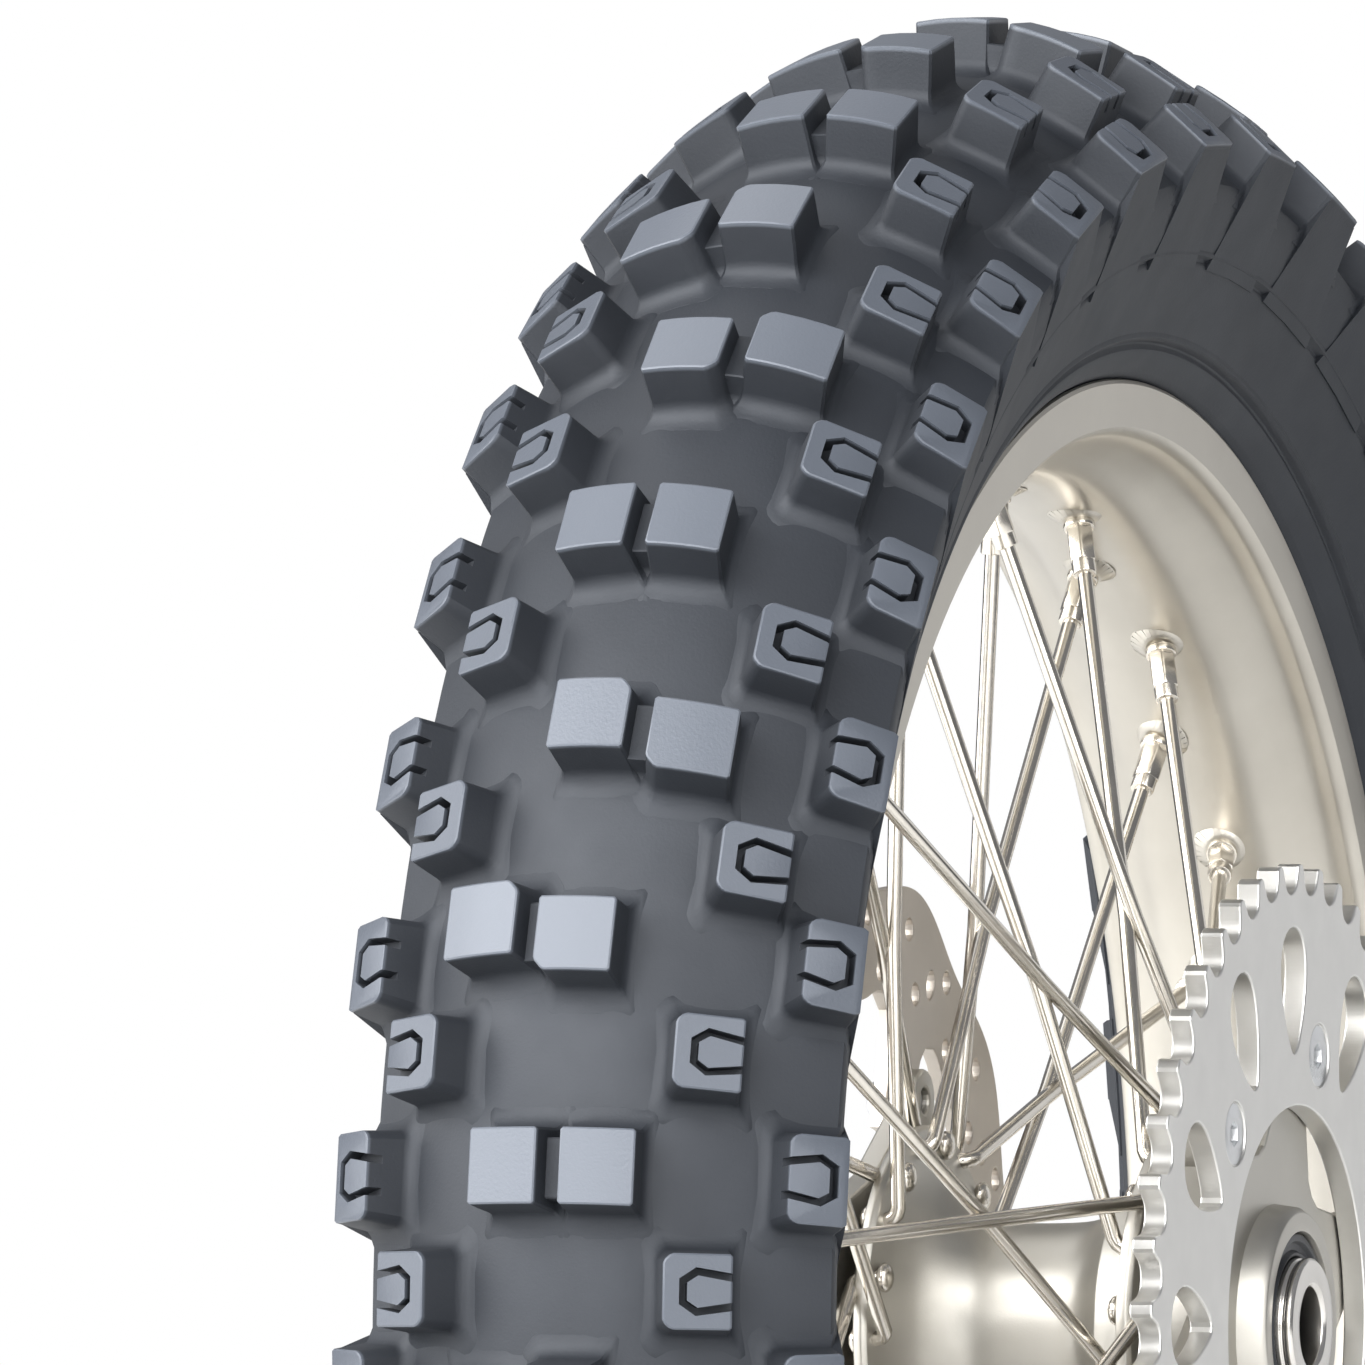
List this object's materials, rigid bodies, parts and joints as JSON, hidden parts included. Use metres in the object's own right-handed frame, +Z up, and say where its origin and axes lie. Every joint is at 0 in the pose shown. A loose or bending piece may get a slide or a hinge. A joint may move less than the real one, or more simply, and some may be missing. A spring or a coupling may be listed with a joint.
{
  "type": "motorcycle wheel and tire",
  "caption": "Off-road motorcycle rear tire with knobbly block tread, fitted on its laced spoked wheel with hub, bearings, sprocket, brake disc, tube and valve.",
  "frame": {"origin": "the axle mount: on the axle line, in the middle plane of the tire and the rim", "axes": "+Y along the axle towards the brake disc side, -Y the sprocket side, +Z up, +X to the wheel's rear"},
  "size_m": [0.6586, 0.153, 0.6586],
  "materials": {
    "tire_rubber": "moulded rubber, dark slate, satin",
    "soft_rubber": "moulded black rubber, matt",
    "satin_aluminium": "bead-blasted, satin anodised",
    "machined_aluminium": "machined and anodised",
    "polished_steel": "nickel plated or polished stainless",
    "ground_steel": "ground stainless steel",
    "bead_steel": "bronze coated wire",
    "machined_brass": "turned brass"
  },
  "bodies": {
    "axle_set": {"collar_drive": "polished_steel", "collar_brake": "polished_steel", "distance_tube": "ground_steel", "bearing_inner_drive": "ground_steel", "bearing_inner_brake": "ground_steel"},
    "wheel": {"tire": "tire_rubber", "bead_wire_drive": "bead_steel", "bead_wire_brake": "bead_steel", "inner_tube": "soft_rubber", "rim": "satin_aluminium", "rim_strip": "soft_rubber", "valve_stem": "machined_brass", "rim_lock": "soft_rubber", "hub": "satin_aluminium", "sprocket": "machined_aluminium", "brake_disc": "ground_steel", "spokes_drive_1": "polished_steel", "spokes_brake_1": "polished_steel", "spokes_drive_2": "polished_steel", "spokes_brake_2": "polished_steel", "spokes_drive_3": "polished_steel", "spokes_brake_3": "polished_steel", "spokes_drive_4": "polished_steel", "spokes_brake_4": "polished_steel", "spokes_drive_5": "polished_steel", "spokes_brake_5": "polished_steel", "spokes_drive_6": "polished_steel", "spokes_brake_6": "polished_steel", "spokes_drive_7": "polished_steel", "spokes_brake_7": "polished_steel", "spokes_drive_8": "polished_steel", "spokes_brake_8": "polished_steel", "spokes_drive_9": "polished_steel", "spokes_brake_9": "polished_steel", "bearing_outer_drive": "ground_steel", "seal_drive": "soft_rubber", "bearing_outer_brake": "ground_steel", "seal_brake": "soft_rubber", "sprocket_bolt_1": "polished_steel", "sprocket_nut_1": "polished_steel", "sprocket_bolt_2": "polished_steel", "sprocket_nut_2": "polished_steel", "sprocket_bolt_3": "polished_steel", "sprocket_nut_3": "polished_steel", "sprocket_bolt_4": "polished_steel", "sprocket_nut_4": "polished_steel", "sprocket_bolt_5": "polished_steel", "sprocket_nut_5": "polished_steel", "sprocket_bolt_6": "polished_steel", "sprocket_nut_6": "polished_steel", "disc_bolt_1": "polished_steel", "disc_bolt_2": "polished_steel", "disc_bolt_3": "polished_steel", "disc_bolt_4": "polished_steel"},
    "balls_drive": {"bearing_balls_drive": "ground_steel"},
    "balls_brake": {"bearing_balls_brake": "ground_steel"},
    "valve_cap": {"valve_cap": "soft_rubber"},
    "valve_core": {"valve_core": "machined_brass"},
    "rim_lock_nut": {"rim_lock_nut": "polished_steel"}
  },
  "joints": [
    {"name": "wheel_spin", "type": "hinge", "parent": "axle_set", "child": "wheel", "pos_m": [0, 0, 0], "axis": [0, 1, 0], "continuous": true},
    {"name": "balls_drive_spin", "type": "hinge", "parent": "axle_set", "child": "balls_drive", "pos_m": [0, -0.0705, 0], "axis": [0, 1, 0], "continuous": true},
    {"name": "balls_brake_spin", "type": "hinge", "parent": "axle_set", "child": "balls_brake", "pos_m": [0, 0.0285, 0], "axis": [0, 1, 0], "continuous": true},
    {"name": "valve_cap_pull", "type": "slide", "parent": "wheel", "child": "valve_cap", "axis": [-0.8712, 0, 0.4909], "range_m": [0, 0.012]},
    {"name": "valve_core_press", "type": "slide", "parent": "wheel", "child": "valve_core", "axis": [0.8712, 0, -0.4909], "range_m": [0, 0.0012], "stiffness_N_per_m": 800, "springref_m": -0.0005},
    {"name": "rim_lock_nut_run", "type": "slide", "parent": "wheel", "child": "rim_lock_nut", "axis": [-0.184, 0, 0.9829], "range_m": [0, 0.018]}
  ],
  "couplings": [
    {"joint": "balls_drive_spin", "follows": "wheel_spin", "ratio": 0.594},
    {"joint": "balls_brake_spin", "follows": "wheel_spin", "ratio": 0.594}
  ]
}
